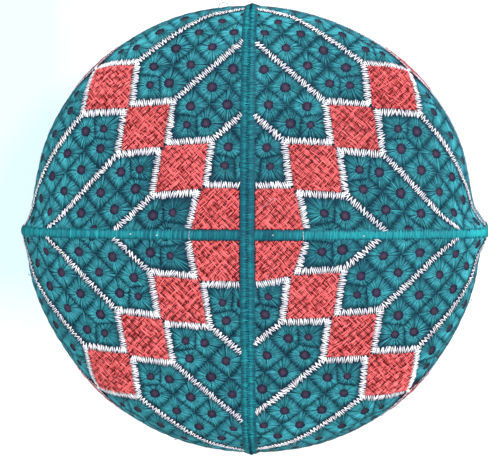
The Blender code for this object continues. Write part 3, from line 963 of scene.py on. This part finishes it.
def first_square(middle_deg):
    """Corners (p, q) of the first square: near the middle, lengthwise band, outer corner, crosswise band."""
    a = np.radians(middle_deg)
    quarter_of = np.sign([np.cos(a), np.sin(a)])
    near, long, cross = (quarter_of * at for at in ((FIRST_LONG[0], FIRST_CROSS[1]), FIRST_LONG, FIRST_CROSS))
    outer = (skin(*pattern(CHAIN[1], 0.0, middle_deg)) - SHIFT)[:2]
    x, y = np.array([near, long, outer, cross]).T
    return np.stack([x * np.cos(a) + y * np.sin(a), y * np.cos(a) - x * np.sin(a)], 1)


def white_legs(middle_deg):
    """Legs of one panel's white work: start and end (p, q), room cut at each end, offset, half a stitch's
    length, and the function that takes it to the cloth."""
    legs = []
    _, by_long, outer, by_cross = first_square(middle_deg)
    for start in (by_long, by_cross):
        legs.append((start, outer, 0.0, TRIM, EDGE_OFFSET, WHITE_EDGE_HALF, near_middle))
    legs.append(((CHAIN[4] + 0.4, 0.0), (STARTS[4] - 0.4, 0.0), 0.0, 0.0, 0.0, 1.0, pattern))
    for sign in (1, -1):
        for inner, outer, middle, across in zip(STARTS[1:], CHAIN[2:], LINES[1:], HALF_ACROSS[1:]):
            corner = (middle, across * sign)
            room0 = TRIM if inner in CHAIN else 0.0
            room1 = TRIM if outer in STARTS else 0.0
            legs.append(((inner, 0.0), corner, room0, -EXTEND, EDGE_OFFSET, WHITE_EDGE_HALF, pattern))
            legs.append((corner, (outer, 0.0), -EXTEND, room1, EDGE_OFFSET, WHITE_EDGE_HALF, pattern))
            legs.append((corner, (middle, 100.0 * sign), 1.2, 0.0, 0.0, WHITE_LINE_HALF, pattern))
    return legs


print("legs of white work on a panel:", len(white_legs(45.0)))

# %% White stitches
def wander(count, spread, hold):
    """Random numbers that drift slowly from stitch to stitch."""
    steps = chance.normal(0, 1, count + hold)
    return spread * np.convolve(steps, np.ones(hold) / np.sqrt(hold), mode="valid")[:count]


def white_leg_stitches(start, end, room0, room1, offset, half, to_cloth, middle_deg):
    """Stitches across one leg."""
    start, end = np.array(start, float), np.array(end, float)
    length = np.linalg.norm(end - start)
    forward = (end - start) / length
    across = np.array([-forward[1], forward[0]])
    edge = offset > 0
    # an edge moves away from its square, which lies towards the middle line
    away = across * np.sign(across[1] * (start[1] + end[1])) if edge else across
    at = np.arange(room0 + 0.2, length - room1, WHITE_EDGE_STEP if edge else WHITE_LINE_STEP)
    count = len(at)
    slant = wander(count, DRIFT, DRIFT_HOLD) + chance.normal(0, SLANT_SPREAD, count)
    if not edge:
        slant = slant + np.where(np.arange(count) % 2, ZIGZAG, -ZIGZAG)
    reach0 = half * chance.uniform(0.85 if edge else 0.75, 1.08, count)
    reach1 = half * chance.uniform(0.75, 1.25, count)
    centre = start + away * offset + forward * (at + chance.normal(0, 0.06, count))[:, None]
    lean = away + forward * slant[:, None]
    first = centre - lean * reach0[:, None]
    last = centre + lean * reach1[:, None]
    arc, angle = to_cloth(centre[:, 0], centre[:, 1], middle_deg)
    lengthwise = (angle - middle_deg) * toward_lengthwise(middle_deg) > 0
    band = np.where(lengthwise, BAND_HALF["lengthwise"], BAND_HALF["crosswise"])
    kept = (room_to_seam(arc, angle, middle_deg) > band - 0.4) & (arc < PANEL_ARC - 0.8)
    height = WHITE_HEIGHT + chance.uniform(0.0, WHITE_LIFT, kept.sum())
    return lay_flat(first[kept], last[kept], to_cloth, middle_deg, height,
                    EDGE_WIDE if edge else LINE_WIDE, WHITE_TALL, chance.uniform(0.2, 1.0, kept.sum()))


for quarter, middle_deg in PANELS.items():
    rows = [white_leg_stitches(*leg, middle_deg) for leg in white_legs(middle_deg)]
    embroider("white_outlines_" + quarter, join_rows(rows), WHITE_THREAD, seed=31, arch=0.5, uneven=0.12)

# %% [markdown]
# ## Coral squares
# The squares are filled with coral thread in a basket pattern: small blocks of four parallel threads,
# each block turned a quarter from its neighbours, with dark gaps where the blocks meet.
# Here and there a thread floats over two blocks. A bump on the solid square would give the pattern,
# but no ragged edge and no shade between threads, so each thread is laid. The solid square lies
# under them as their padding.

# %% Outline of a square, and threads cut to it
BLOCK = 2.6   # mm
THREADS_IN_BLOCK, THREAD_PITCH = 4, 0.58
FILL_PAST = 0.3   # mm that threads may pass the square's edge, under the white stitches
CORAL_WIDE, CORAL_TALL = 0.5, 0.36
LONG_FLOATS, FLOAT_LONGER = 0.18, 1.8   # share of threads that float over two blocks, and their length
FILL_HEIGHT, FLOAT_RISE = 0.72, 0.15   # mm over the cloth, and a float's rise over that
# a float's lighter tone is a painted highlight on the raised thread
TONE_ALONG, TONE_ACROSS, TONE_SPREAD, FLOAT_HIGHLIGHT = 0.62, 0.78, 0.26, 0.3


def square_outline(number, middle_deg):
    """Corners (p, q) of a square in order round it."""
    if number == 0:
        return first_square(middle_deg)
    middle, across = LINES[number], HALF_ACROSS[number]
    return np.array([(STARTS[number], 0), (middle, across), (CHAIN[number + 1], 0), (middle, -across)])


def inside_by(points, corners, inset):
    """Whether points lie inside a convex outline by at least the inset."""
    middle = corners.mean(0)
    kept = np.ones(len(points), bool)
    for a, b in zip(corners, np.roll(corners, -1, axis=0)):
        across = unit(np.array([b[1] - a[1], a[0] - b[0]]))
        across = across * np.sign((middle - a) @ across)
        kept &= (points - a) @ across > inset
    return kept


def trim_to(first, last, corners):
    """Cuts each thread where it leaves the square."""
    shares = np.linspace(0, 1, 9)
    probes = first[:, None] + (last - first)[:, None] * shares[:, None]
    inside = inside_by(probes.reshape(-1, 2), corners, -FILL_PAST).reshape(len(first), -1)
    begin = inside.argmax(1)
    finish = len(shares) - 1 - inside[:, ::-1].argmax(1)
    finish = np.where(inside.any(1), finish, begin)
    rows = np.arange(len(first))
    return probes[rows, begin], probes[rows, finish]


print("first square's corners, seen flat, in mm:", np.round(square_outline(0, 45.0), 1).tolist())

# %% Basket fill of a square
def basket(number, middle_deg):
    """Stitches that fill one square."""
    corners = square_outline(number, middle_deg)
    to_cloth = pattern if number else near_middle
    low = np.floor(corners.min(0) / BLOCK).astype(int) - 1
    high = np.ceil(corners.max(0) / BLOCK).astype(int) + 1
    ranges = [np.arange(low[0], high[0]), np.arange(low[1], high[1]), np.arange(THREADS_IN_BLOCK)]
    i, j, k = (grid.ravel() for grid in np.meshgrid(*ranges, indexing="ij"))
    offset = BLOCK / 2 + (k - (THREADS_IN_BLOCK - 1) / 2) * THREAD_PITCH
    along_p = (i + j) % 2 == 0
    centre = np.stack([np.where(along_p, (i + 0.5) * BLOCK, i * BLOCK + offset),
                       np.where(along_p, j * BLOCK + offset, (j + 0.5) * BLOCK)], 1)
    centre = centre + chance.normal(0, 0.07, centre.shape)
    half = BLOCK * 0.5 * chance.uniform(0.92, 1.16, len(centre))
    floats = chance.uniform(0, 1, len(centre)) < LONG_FLOATS
    half = np.where(floats, half * FLOAT_LONGER, half)
    lean = chance.normal(0, 0.08, len(centre))
    direction = np.stack([np.where(along_p, 1.0, lean), np.where(along_p, lean, 1.0)], 1)
    first, last = trim_to(centre - direction * half[:, None], centre + direction * half[:, None], corners)
    kept = np.linalg.norm(last - first, axis=1) > 0.4
    floats, along_p = floats[kept], along_p[kept]
    tone = np.where(along_p, TONE_ALONG, TONE_ACROSS) + chance.normal(0, TONE_SPREAD, kept.sum())
    return lay_flat(first[kept], last[kept], to_cloth, middle_deg, FILL_HEIGHT + floats * FLOAT_RISE,
                    CORAL_WIDE, CORAL_TALL, np.clip(tone + floats * FLOAT_HIGHLIGHT, 0, 1))


print("threads across a block:", THREADS_IN_BLOCK, "at", THREAD_PITCH, "mm")

# %% Fill the squares
for quarter, middle_deg in PANELS.items():
    rows = [basket(number, middle_deg) for number in range(len(HALF_ACROSS))]
    embroider("coral_fill_" + quarter, join_rows(rows), CORAL_THREAD, seed=41, blunt=0.75, arch=0.4)

# %% [markdown]
# ## Seam bands
# The lengthwise band is worked in two columns of short satin stitches that meet in the middle,
# with small dark stitches down the join like the rungs of a ladder. The crosswise bands are
# narrower and their stitches cross the whole width. The solid bands underneath give the height,
# so a single layer of thin stitches on them is enough.

# %% One row of band stitches
COLUMN_PITCH, RUNG_PITCH, CROSS_PITCH = 0.5, 1.05, 0.48   # mm from stitch to stitch
RUNG_HEIGHT = 1.42   # mm over the solid band's middle
SHADE_FROM_TO = (10.0, 50.0)   # mm from the middle
# thread shade near the middle and further out, by the angle of each half band
HALF_BAND_SHADES = {0.0: (0.18, 0.95), 90.0: (0.12, 0.38), 180.0: (0.14, 0.5), 270.0: (0.26, 0.48)}


def band_frame(arcs, angle):
    """Middle points of a band on its solid, and the directions across it and up from it."""
    middle = skin(arcs, np.full(len(arcs), angle))
    up = normal(arcs, np.full(len(arcs), angle))
    a = np.radians(angle)
    across = np.broadcast_to(np.array([-np.sin(a), np.cos(a), 0.0]), middle.shape)
    return middle, across, unit(up - across * np.sum(up * across, 1, keepdims=True))


def band_row(arcs, angle, from_side, from_height, to_side, to_height, slant, wide, tall, shade):
    """A row of stitches across a band. slant moves the far end along the band, in mm."""
    middle, across, up = band_frame(arcs, angle)
    ahead = unit(band_frame(arcs + 0.5, angle)[0] - middle)
    jitter = chance.normal(0, 0.13, (len(arcs), 1))
    start = middle + across * from_side + up * from_height - ahead * slant / 2
    end = middle + across * (to_side + jitter) + up * to_height + ahead * slant / 2
    return lay(start, end, up, wide, tall, shade)


def band_shade(arcs, angle, spread):
    """Thread shades of half a band, darker around the middle of the crown."""
    middle_shade = np.interp(arcs, SHADE_FROM_TO, HALF_BAND_SHADES[angle])
    return np.clip(middle_shade + chance.normal(0, spread, len(arcs)), 0, 1)


print("stitches in a column of the lengthwise band:", len(np.arange(0.25, PANEL_ARC - 0.3, COLUMN_PITCH)))

# %% Rows of band stitches
def lengthwise_rows(angle):
    """Two columns that start on the ridge and end beside the band, half a step apart."""
    rows = []
    arcs = np.arange(0.25, PANEL_ARC - 0.3, COLUMN_PITCH)
    for side in (1, -1):
        shifted = arcs + COLUMN_PITCH / 2 * (side < 0)
        rows.append(band_row(shifted, angle, -0.25 * side, 1.22, 3.05 * side, 0.45, slant=0.5,
                             wide=0.5, tall=0.36, shade=band_shade(arcs, angle, 0.24)))
    return rows


def lengthwise_rungs(angle):
    """Short dark stitches across the join of the two columns."""
    arcs = np.arange(0.6, PANEL_ARC - 1.0, RUNG_PITCH)
    middle, across, up = band_frame(arcs, angle)
    reach = chance.uniform(0.35, 0.7, (len(arcs), 1))
    sway = across * chance.normal(0, 0.15, (len(arcs), 1))
    start = middle + sway + up * RUNG_HEIGHT - across * reach
    end = middle + sway + up * RUNG_HEIGHT + across * reach
    return lay(start, end, up, wide=0.5, tall=0.34, shade=chance.uniform(0, 1, len(arcs)))


def crosswise_rows(angle):
    """One column over the whole width, from beside the lengthwise band to the rim."""
    arcs = np.arange(3.2, PANEL_ARC - 0.3, CROSS_PITCH)
    return band_row(arcs, angle, -2.15, 0.34, 2.15, 0.34, slant=0.35, wide=0.5, tall=0.42,
                    shade=band_shade(arcs, angle, 0.2))


embroider("lengthwise_band_stitches", join_rows(lengthwise_rows(90.0) + lengthwise_rows(270.0)),
          TEAL_BAND_THREAD, seed=51, arch=0.6)
embroider("lengthwise_band_rungs", join_rows([lengthwise_rungs(90.0), lengthwise_rungs(270.0)]),
          DARK_TEAL_THREAD, seed=52)
embroider("crosswise_band_stitches", join_rows([crosswise_rows(0.0), crosswise_rows(180.0)]),
          TEAL_BAND_THREAD, seed=53, arch=1.4, lengths=4)

# %% [markdown]
# ## Small accidents of the handwork
# A few threads have come loose. White thread crosses the crosswise band where the first squares' edges
# meet it, with four white specks along the band. A pale thread lies on one coral square,
# and short teal ends stick out round the shoulder. Each has its own place in the photo,
# so the places are short lists and not left to chance.

# %% Loose threads and specks
SPECKS = [-47.9, -36.9, 10.4, 47.1]   # mm along the crosswise seam, east positive
CROSSINGS = [-23.6, 22.8]   # mm, where white thread crosses the band
PALE_THREAD = [(5.5, 10.7), (8.2, 13.0), (10.8, 15.1), (11.6, 13.1)]   # mm seen from above
# angle round the cap in degrees, length in mm, bend from one piece to the next in degrees
LOOSE_ENDS = [(53.0, 2.6, 25.0), (48.0, 2.2, -20.0), (341.5, 3.0, 30.0), (191.5, 2.4, -25.0),
              (219.0, 2.8, 20.0), (250.0, 2.2, -30.0), (304.5, 2.4, 25.0), (96.0, 9.0, 58.0)]
LOOSE_ARC, LOOSE_PIECES = 112.0, 5


def white_accidents():
    """Specks and crossing threads on the crosswise band, and the pale thread."""
    rows = []   # start, end, width in mm, shade
    for x in SPECKS:
        y = chance.uniform(-0.6, 0.3)
        rows.append(((x - 0.35, y), (x + 0.35, y + 0.3), 0.4, 0.6))
    for x in CROSSINGS:
        for y in (-1.9, -0.75, 0.5):
            rows.append(((x + chance.normal(0, 0.1), y), (x + chance.normal(0, 0.1), y + 1.05), 0.24, 0.3))
    rows += [(start, end, 0.16, -0.6) for start, end in zip(PALE_THREAD[:-1], PALE_THREAD[1:])]
    first, last, wide, shade = (np.array(column) for column in zip(*rows))
    return lay_flat(first, last, near_middle, 0.0, height=1.3, wide=wide, tall=0.2, shade=shade)


def loose_ends():
    """Short curved thread ends that stand out from the shoulder."""
    first, last = [], []
    for angle, length, bend in LOOSE_ENDS:
        arc, at = np.array([LOOSE_ARC]), np.array([angle])
        place = above(arc, at, 0.2)[0]
        out = normal(arc, at)[0]
        round_cap = np.cross([0, 0, 1.0], out)
        for piece in range(LOOSE_PIECES):
            turn = np.radians(20.0 + bend * piece * 0.8)
            step = (out * np.cos(turn) + round_cap * np.sin(turn)) * length / LOOSE_PIECES
            first.append(place)
            last.append(place + step)
            place = place + step
    first, last = np.array(first), np.array(last)
    up = np.tile([0.0, 0.0, 1.0], (len(first), 1))
    return lay(first - (last - first) * 0.1, last, up, wide=0.24, tall=0.24, shade=0.3)


embroider("white_specks", white_accidents(), WHITE_THREAD, seed=71, arch=0.3)
embroider("eyelet_loose_ends", loose_ends(), TEAL_BAND_THREAD, seed=72, blunt=0.9, arch=0.0, uneven=0.0)

# %% [markdown]
# ## The rim
# The lower edge is turned and oversewn: close upright stitches wrap it from the foot to just above
# its top, so they also hide the joint with the panels. A twisted cord would look much the same
# from above, but from the side its strands would slant too far.

# %% Oversewn rim
RIM_STEP = 0.36   # degrees between stitches


def rim_stitches():
    """Slightly slanted upright stitches all round the turned edge."""
    angle = np.arange(0, 360, RIM_STEP)
    count = len(angle)
    arc = np.full(count, PANEL_ARC)
    base = skin(arc, angle)
    out = unit(normal(arc, angle) * [1, 1, 0])
    lean = np.cross([0, 0, 1.0], out)
    foot = base + out * 0.62 + lean * -0.35
    foot[:, 2] = 0.55 + chance.uniform(0, 0.3, count)
    head = base + out * 0.42 + lean * 0.35
    head[:, 2] = HEM_TOP + 1.1 + chance.uniform(0, 0.5, count)
    shade = np.clip(chance.normal(0.45, 0.15, count), 0, 1)
    return lay(foot, head, out, wide=0.62, tall=0.4, shade=shade)


embroider("rim_stitches", rim_stitches(), TEAL_BAND_THREAD, seed=61, arch=0.3)

# %% [markdown]
# ## Finishes of the solid pieces that stay
# The solid squares, bands and turned edge keep their shape and lie under the threads. They could take
# the threads' own finish, but the gaps between stitches would show less. So they get the dark side
# of each thread's colour, painted shade in the gaps between the stitches.

# %% Padding materials
def padding_finish(name, dark, light):
    """Dull grainy cloth between two tones, dark as painted shade in the gaps between stitches."""
    material, sheet, shader = blank(name)
    grain = noise(sheet, 1800.0, 3.0)
    colour = sheet.mix((grain * 0.7 + noise(sheet, 90.0) * 0.3).held(), dark, light)
    rough = 0.7 + (grain - 0.5) * 0.2
    finish_with(sheet, shader, colour, rough, grain, strength=0.5, distance=0.0002)
    return material


# the paddings are dark: painted shade between the coral and teal stitches
CORAL_PADDING = padding_finish("coral_padding", linear(40, 0, 8), linear(80, 4, 14))
TEAL_PADDING = padding_finish("teal_padding", linear(4, 46, 62), linear(10, 84, 98))
PADDINGS = {"square": CORAL_PADDING, "band": TEAL_PADDING, "hem": TEAL_PADDING}
padded = [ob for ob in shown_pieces() if ob.name.split("_")[0] in PADDINGS]
for ob in padded:
    ob.material_slots[0].material = PADDINGS[ob.name.split("_")[0]]
print("solid pieces with a padding finish:", len(padded))

# %% [markdown]
# ## Floor, light and camera
# The photo is taken from almost straight above, against white that turns a little blue on the left.
# A soft light stands to the upper right, where the photo's threads are brightest, and a wider,
# weaker one to the lower left. One lamp would be simpler, but its shadows would be deeper.

# %% Floor
FLOOR_REACH = 1500.0   # mm to each side
BLUE_FROM, BLUE_OVER = -0.045, 0.05   # m, where the floor begins to turn blue leftwards, and over how much


def floor_finish():
    """White paper that glows a little, so the cap's shadow stays faint, and turns blue on the left."""
    material, sheet, shader = blank("pale_floor")
    place = sheet.split(object_place(sheet))
    leftness = ((BLUE_FROM - place) / BLUE_OVER).held() * ((place.other("Y") + 0.06) / 0.04).held()
    colour = sheet.mix(leftness, (0.3, 0.3, 0.3), (0.1, 0.22, 0.24))
    glow = sheet.mix(leftness, (1.0, 1.0, 1.0), (0.84, 0.97, 1.0))
    sheet.tree.links.new(colour.socket, shader.inputs["Base Color"])
    sheet.tree.links.new(glow.socket, shader.inputs["Emission Color"])
    shader.inputs["Emission Strength"].default_value = 0.85
    shader.inputs["Roughness"].default_value = 0.9
    return material


corners = np.array([(-1, -1, 0), (1, -1, 0), (1, 1, 0), (-1, 1, 0)]) * FLOOR_REACH
ob = new_object("floor", corners, [(0, 1, 2, 3)], [floor_finish()])
print("the floor reaches", FLOOR_REACH * MM, "m to each side")

# %% Lights
def soft_light(name, place, size, power, colour=(1, 1, 1)):
    """A round lamp that faces the cap, its place and size in m, its power in W."""
    lamp = bpy.data.lights.new(name, "AREA")
    lamp.shape = "DISK"
    lamp.size = size
    lamp.energy = power
    lamp.color = colour
    ob = bpy.data.objects.new(name, lamp)
    ob.location = place
    ob.rotation_euler = (-Vector(place)).to_track_quat("-Z", "Y").to_euler()
    bpy.context.scene.collection.objects.link(ob)
    print(name, "stands at", place, "m")


soft_light("key_light", (0.4, 0.32, 0.88), 0.22, 12.6)
soft_light("fill_light", (-0.7, -0.3, 0.75), 0.9, 5.0, (0.93, 0.98, 1.0))
world = bpy.data.worlds.new("studio")
world.use_nodes = True
background = world.node_tree.nodes["Background"]
background.inputs["Color"].default_value = (1, 1, 1, 1)
background.inputs["Strength"].default_value = 0.6
bpy.context.scene.world = world
bpy.context.scene.view_settings.view_transform = "Standard"

# %% [markdown]
# The photo is taken from far off, about three degrees to the right of the upright and three towards its top.
# A camera can be placed by eye, but then every change moves the whole picture. So the lean, the distance
# and the scale are numbers, and the lens follows from the pixels in a radian.

# %% Camera
IMAGE_WIDE, IMAGE_HIGH = 488, 456
CAP_IN_IMAGE = (251.5, 231.34)   # px, where the point below the crown's middle falls
PIXELS_PER_RADIAN = 2141.7
CAMERA_AWAY = 900.0   # mm
LEAN_RIGHT, LEAN_UP = 0.058, 0.052   # radians off the upright, towards +X and +Y
LOOK_DEPTH = 30.0   # mm below the crown's middle


def add_camera():
    """A camera with the photo's direction, distance and scale."""
    back = Vector((np.tan(LEAN_RIGHT), np.tan(LEAN_UP), 1.0)).normalized()
    up = Vector((0, 1, 0))
    up = (up - back * up.dot(back)).normalized()
    right = up.cross(back)
    target = Vector(SHIFT) + Vector((0, 0, APEX - LOOK_DEPTH))
    place = (target + back * CAMERA_AWAY) * MM
    off_x = (CAP_IN_IMAGE[0] - IMAGE_WIDE / 2) / PIXELS_PER_RADIAN
    off_y = (CAP_IN_IMAGE[1] - IMAGE_HIGH / 2) / PIXELS_PER_RADIAN
    aim = (-back - right * off_x + up * off_y).normalized()
    side = aim.cross(up).normalized()
    data = bpy.data.cameras.new("camera")
    data.sensor_width = 36.0
    data.lens = PIXELS_PER_RADIAN / IMAGE_WIDE * data.sensor_width
    ob = bpy.data.objects.new("camera", data)
    turned = Matrix((side, side.cross(aim), -aim)).transposed()
    ob.matrix_world = Matrix.Translation(place) @ turned.to_4x4()
    bpy.context.scene.collection.objects.link(ob)
    bpy.context.scene.camera = ob
    print("the camera's lens in mm:", round(data.lens, 1))


add_camera()

# %% [markdown]
# ## The cap's body
# Every piece rides on the cap's one body.

# %% Ride on the body
SLOT_STARTS = {"cloth": "teal_panel", "eyelet": "teal_panel", "white": "teal_panel", "coral": "coral_thread",
               "lengthwise": "teal_band", "crosswise": "teal_band", "rim": "teal_edge"}
for piece in finished:
    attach(piece, "root")
    SLOT_STARTS[piece.name.split("_")[0]]
